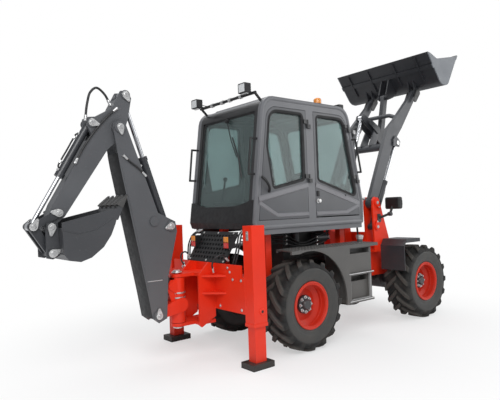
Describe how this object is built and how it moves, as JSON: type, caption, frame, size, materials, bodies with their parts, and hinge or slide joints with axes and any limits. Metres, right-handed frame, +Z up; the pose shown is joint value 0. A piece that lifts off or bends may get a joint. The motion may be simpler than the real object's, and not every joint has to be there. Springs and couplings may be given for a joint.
{
  "type": "backhoe loader",
  "caption": "Compact articulated backhoe loader with a raised front bucket on bent arms, glazed cab, folded rear digging arm and stabiliser legs",
  "frame": {"origin": "ground level under the middle of the machine's length and width", "axes": "X forward to the loader bucket, Y to the machine's left, Z up"},
  "size_m": [6.503, 1.896, 4.096],
  "materials": {
    "paint_red": "satin",
    "paint_slate": "satin",
    "paint_dark": "satin",
    "tyre_black": "matte",
    "moulding_black": "matte",
    "tinted_glass": "polished",
    "rod_chrome": "polished",
    "pin_steel": "brushed",
    "engine_iron": "matte",
    "seat_fabric": "woven",
    "lamp_lens": "gloss"
  },
  "bodies": {
    "chassis": {"rear_frame": "paint_red", "backhoe_frame": "paint_red", "rear_axle": "paint_dark", "engine": "engine_iron", "side_fenders": "paint_slate", "cab_shell": "paint_slate", "cab_roof": "paint_slate", "rear_panels": "moulding_black", "cab_glass": "tinted_glass", "seat": "seat_fabric", "controls": "moulding_black", "cab_rails": "paint_dark", "lamp_lenses": "lamp_lens"},
    "front_half": {"front_frame": "paint_red", "front_axle": "paint_dark", "front_fenders": "paint_dark", "headlamps": "moulding_black"},
    "front_left_wheel": {"rim_front_left": "paint_red", "tyre_front_left": "tyre_black"},
    "front_left_door": {"front_door_left": "paint_slate", "front_door_glass_left": "tinted_glass"},
    "front_right_wheel": {"rim_front_right": "paint_red", "tyre_front_right": "tyre_black"},
    "front_right_door": {"front_door_right": "paint_slate", "front_door_glass_right": "tinted_glass"},
    "rear_left_wheel": {"rim_rear_left": "paint_red", "tyre_rear_left": "tyre_black"},
    "rear_left_door": {"rear_door_left": "paint_slate", "rear_door_glass_left": "tinted_glass"},
    "rear_right_wheel": {"rim_rear_right": "paint_red", "tyre_rear_right": "tyre_black"},
    "rear_right_door": {"rear_door_right": "paint_slate", "rear_door_glass_right": "tinted_glass"},
    "loader_arms": {"loader_arms": "paint_slate"},
    "bucket_pins": {"bucket_pins": "pin_steel"},
    "loader_bucket": {"loader_bucket": "paint_dark"},
    "crank_pivot": {"crank_pivot": "paint_dark"},
    "bellcrank": {"bellcrank": "paint_dark"},
    "tilt_link": {"tilt_link": "paint_dark"},
    "lift_barrels": {"lift_barrels": "paint_dark"},
    "lift_rods": {"lift_rods": "rod_chrome"},
    "tilt_barrel": {"tilt_barrel": "paint_dark"},
    "tilt_rod": {"tilt_rod": "rod_chrome"},
    "swing_post": {"swing_post": "paint_red"},
    "boom": {"boom": "paint_slate"},
    "dipper": {"dipper": "paint_slate"},
    "hoe_bucket": {"hoe_bucket": "paint_dark"},
    "idler_links": {"idler_links": "paint_dark"},
    "scoop_yoke": {"scoop_yoke": "paint_dark"},
    "boom_barrel": {"boom_barrel": "paint_dark"},
    "boom_rod": {"boom_rod": "rod_chrome"},
    "dipper_barrel": {"dipper_barrel": "paint_dark"},
    "dipper_rod": {"dipper_rod": "rod_chrome"},
    "scoop_barrel": {"scoop_barrel": "paint_dark"},
    "scoop_rod": {"scoop_rod": "rod_chrome"},
    "leg_left": {"leg_left": "paint_red"},
    "leg_right": {"leg_right": "paint_red"},
    "steer_barrel": {"steer_barrel": "paint_dark"},
    "steer_rod": {"steer_rod": "rod_chrome"}
  },
  "joints": [
    {"name": "steering", "type": "hinge", "parent": "chassis", "child": "front_half", "pos_m": [1.1035, 0, 0.75], "axis": [0, 0, 1], "range_deg": [-35, 35]},
    {"name": "front_left_wheel_spin", "type": "hinge", "parent": "front_half", "child": "front_left_wheel", "pos_m": [2.1135, 0.69, 0.5375], "axis": [0, 1, 0], "continuous": true},
    {"name": "front_right_wheel_spin", "type": "hinge", "parent": "front_half", "child": "front_right_wheel", "pos_m": [2.1135, -0.69, 0.5375], "axis": [0, 1, 0], "continuous": true},
    {"name": "rear_left_wheel_spin", "type": "hinge", "parent": "chassis", "child": "rear_left_wheel", "pos_m": [-0.3265, 0.69, 0.5375], "axis": [0, 1, 0], "continuous": true},
    {"name": "rear_right_wheel_spin", "type": "hinge", "parent": "chassis", "child": "rear_right_wheel", "pos_m": [-0.3265, -0.69, 0.5375], "axis": [0, 1, 0], "continuous": true},
    {"name": "front_right_door_swing", "type": "hinge", "parent": "chassis", "child": "front_right_door", "pos_m": [0.9035, -0.667, 1.735], "axis": [-0.2051, 0, 0.9787], "range_deg": [0, 75]},
    {"name": "rear_right_door_swing", "type": "hinge", "parent": "chassis", "child": "rear_right_door", "pos_m": [-0.0795, -0.667, 2.2], "axis": [0, 0, 1], "range_deg": [0, 80]},
    {"name": "front_left_door_swing", "type": "hinge", "parent": "chassis", "child": "front_left_door", "pos_m": [0.9035, 0.667, 1.735], "axis": [0.2051, 0, -0.9787], "range_deg": [0, 75]},
    {"name": "rear_left_door_swing", "type": "hinge", "parent": "chassis", "child": "rear_left_door", "pos_m": [-0.0795, 0.667, 2.2], "axis": [0, 0, -1], "range_deg": [0, 80]},
    {"name": "loader_lift", "type": "hinge", "parent": "front_half", "child": "loader_arms", "pos_m": [1.4735, 0, 1.727], "axis": [0, -1, 0], "range_deg": [-101, 2]},
    {"name": "bucket_level", "type": "hinge", "parent": "loader_arms", "child": "bucket_pins", "pos_m": [2.6935, 0, 3.497], "axis": [0, -1, 0], "range_deg": [-2.74, 89]},
    {"name": "bucket_tilt", "type": "hinge", "parent": "bucket_pins", "child": "loader_bucket", "pos_m": [2.6935, 0, 3.497], "axis": [0, 1, 0], "range_deg": [0, 103]},
    {"name": "crank_level", "type": "hinge", "parent": "loader_arms", "child": "crank_pivot", "pos_m": [2.1335, 0, 2.9], "axis": [0, -1, 0], "range_deg": [-27.05, 1.52]},
    {"name": "crank_turn", "type": "hinge", "parent": "crank_pivot", "child": "bellcrank", "pos_m": [2.1335, 0, 2.9], "axis": [0, -1, 0], "range_deg": [-1, 72.11]},
    {"name": "link_turn", "type": "hinge", "parent": "bellcrank", "child": "tilt_link", "pos_m": [2.3045, 0, 2.704], "axis": [0, -1, 0], "range_deg": [-86.49, 1]},
    {"name": "lift_barrel_swing", "type": "hinge", "parent": "front_half", "child": "lift_barrels", "pos_m": [1.4635, 0, 1.375], "axis": [0, -1, 0], "range_deg": [-93.9, 2.84]},
    {"name": "lift_rod_slide", "type": "slide", "parent": "lift_barrels", "child": "lift_rods", "axis": [0.4597, 0, 0.8881], "range_m": [-0.52269, 0.01427]},
    {"name": "tilt_barrel_swing", "type": "hinge", "parent": "front_half", "child": "tilt_barrel", "pos_m": [1.2935, 0, 1.549], "axis": [0, -1, 0], "range_deg": [-91.77, 2.8]},
    {"name": "tilt_rod_slide", "type": "slide", "parent": "tilt_barrel", "child": "tilt_rod", "axis": [0.3392, 0, 0.9407], "range_m": [-0.35688, 0.004]},
    {"name": "steer_barrel_swing", "type": "hinge", "parent": "chassis", "child": "steer_barrel", "pos_m": [0.4735, -0.16, 0.75], "axis": [0, 0, 1], "range_deg": [-6.33, 6.33]},
    {"name": "steer_rod_slide", "type": "slide", "parent": "steer_barrel", "child": "steer_rod", "axis": [0.9953, -0.0968, 0], "range_m": [-0.13525, 0.13525]},
    {"name": "hoe_swing", "type": "hinge", "parent": "chassis", "child": "swing_post", "pos_m": [-1.6265, 0, 0.7], "axis": [0, 0, 1], "range_deg": [-90, 90]},
    {"name": "boom_lift", "type": "hinge", "parent": "swing_post", "child": "boom", "pos_m": [-1.9415, 0, 0.572], "axis": [0, -1, 0], "range_deg": [0, 110]},
    {"name": "boom_barrel_swing", "type": "hinge", "parent": "swing_post", "child": "boom_barrel", "pos_m": [-1.7515, 0, 0.862], "axis": [0, -1, 0], "range_deg": [-1, 110.36]},
    {"name": "boom_rod_slide", "type": "slide", "parent": "boom_barrel", "child": "boom_rod", "axis": [-0.2797, 0, 0.9601], "range_m": [-0.004, 0.55679]},
    {"name": "dipper_swing", "type": "hinge", "parent": "boom", "child": "dipper", "pos_m": [-2.3265, 0, 2.604], "axis": [0, 1, 0], "range_deg": [0, 115]},
    {"name": "dipper_barrel_swing", "type": "hinge", "parent": "boom", "child": "dipper_barrel", "pos_m": [-1.7575, 0, 1.541], "axis": [0, -1, 0], "range_deg": [-7.67, 1]},
    {"name": "dipper_rod_slide", "type": "slide", "parent": "dipper_barrel", "child": "dipper_rod", "axis": [-0.3196, 0, 0.9475], "range_m": [-0.63002, 0.004]},
    {"name": "hoe_bucket_curl", "type": "hinge", "parent": "dipper", "child": "hoe_bucket", "pos_m": [-3.0525, 0, 1.59], "axis": [0, 1, 0], "range_deg": [0, 150]},
    {"name": "idler_turn", "type": "hinge", "parent": "dipper", "child": "idler_links", "pos_m": [-2.9705, 0, 1.725], "axis": [0, -1, 0], "range_deg": [-118, 1]},
    {"name": "yoke_turn", "type": "hinge", "parent": "idler_links", "child": "scoop_yoke", "pos_m": [-3.2075, 0, 1.603], "axis": [0, -1, 0], "range_deg": [-1, 38.95]},
    {"name": "scoop_barrel_swing", "type": "hinge", "parent": "dipper", "child": "scoop_barrel", "pos_m": [-2.6105, 0, 2.636], "axis": [0, -1, 0], "range_deg": [-4.71, 1]},
    {"name": "scoop_rod_slide", "type": "slide", "parent": "scoop_barrel", "child": "scoop_rod", "axis": [-0.5004, 0, -0.8658], "range_m": [-0.47184, 0.004]},
    {"name": "leg_right_slide", "type": "slide", "parent": "chassis", "child": "leg_right", "axis": [0, 0, 1], "range_m": [-0.05, 0.36]},
    {"name": "leg_left_slide", "type": "slide", "parent": "chassis", "child": "leg_left", "axis": [0, 0, 1], "range_m": [-0.05, 0.36]}
  ],
  "couplings": [
    {"joint": "bucket_level", "follows": "loader_lift", "ratio": -0.87129},
    {"joint": "crank_level", "follows": "loader_lift", "ratio": 0.25793},
    {"joint": "crank_turn", "follows": "bucket_tilt", "ratio": 0.69038},
    {"joint": "link_turn", "follows": "bucket_tilt", "ratio": -0.83003},
    {"joint": "lift_barrel_swing", "follows": "loader_lift", "ratio": 0.91977},
    {"joint": "lift_rod_slide", "follows": "loader_lift", "m_per_rad": 0.29425},
    {"joint": "tilt_barrel_swing", "follows": "loader_lift", "ratio": 0.89873},
    {"joint": "tilt_rod_slide", "follows": "bucket_tilt", "m_per_rad": -0.1963},
    {"joint": "steer_barrel_swing", "follows": "steering", "ratio": 0.15238},
    {"joint": "steer_rod_slide", "follows": "steering", "m_per_rad": 0.21487},
    {"joint": "boom_barrel_swing", "follows": "boom_lift", "ratio": 0.99414},
    {"joint": "boom_rod_slide", "follows": "boom_lift", "m_per_rad": 0.28793},
    {"joint": "dipper_barrel_swing", "follows": "dipper_swing", "ratio": -0.058},
    {"joint": "dipper_rod_slide", "follows": "dipper_swing", "m_per_rad": -0.3119},
    {"joint": "idler_turn", "follows": "hoe_bucket_curl", "ratio": -0.78},
    {"joint": "yoke_turn", "follows": "hoe_bucket_curl", "ratio": 0.253},
    {"joint": "scoop_barrel_swing", "follows": "hoe_bucket_curl", "ratio": -0.0247},
    {"joint": "scoop_rod_slide", "follows": "hoe_bucket_curl", "m_per_rad": -0.1787}
  ]
}
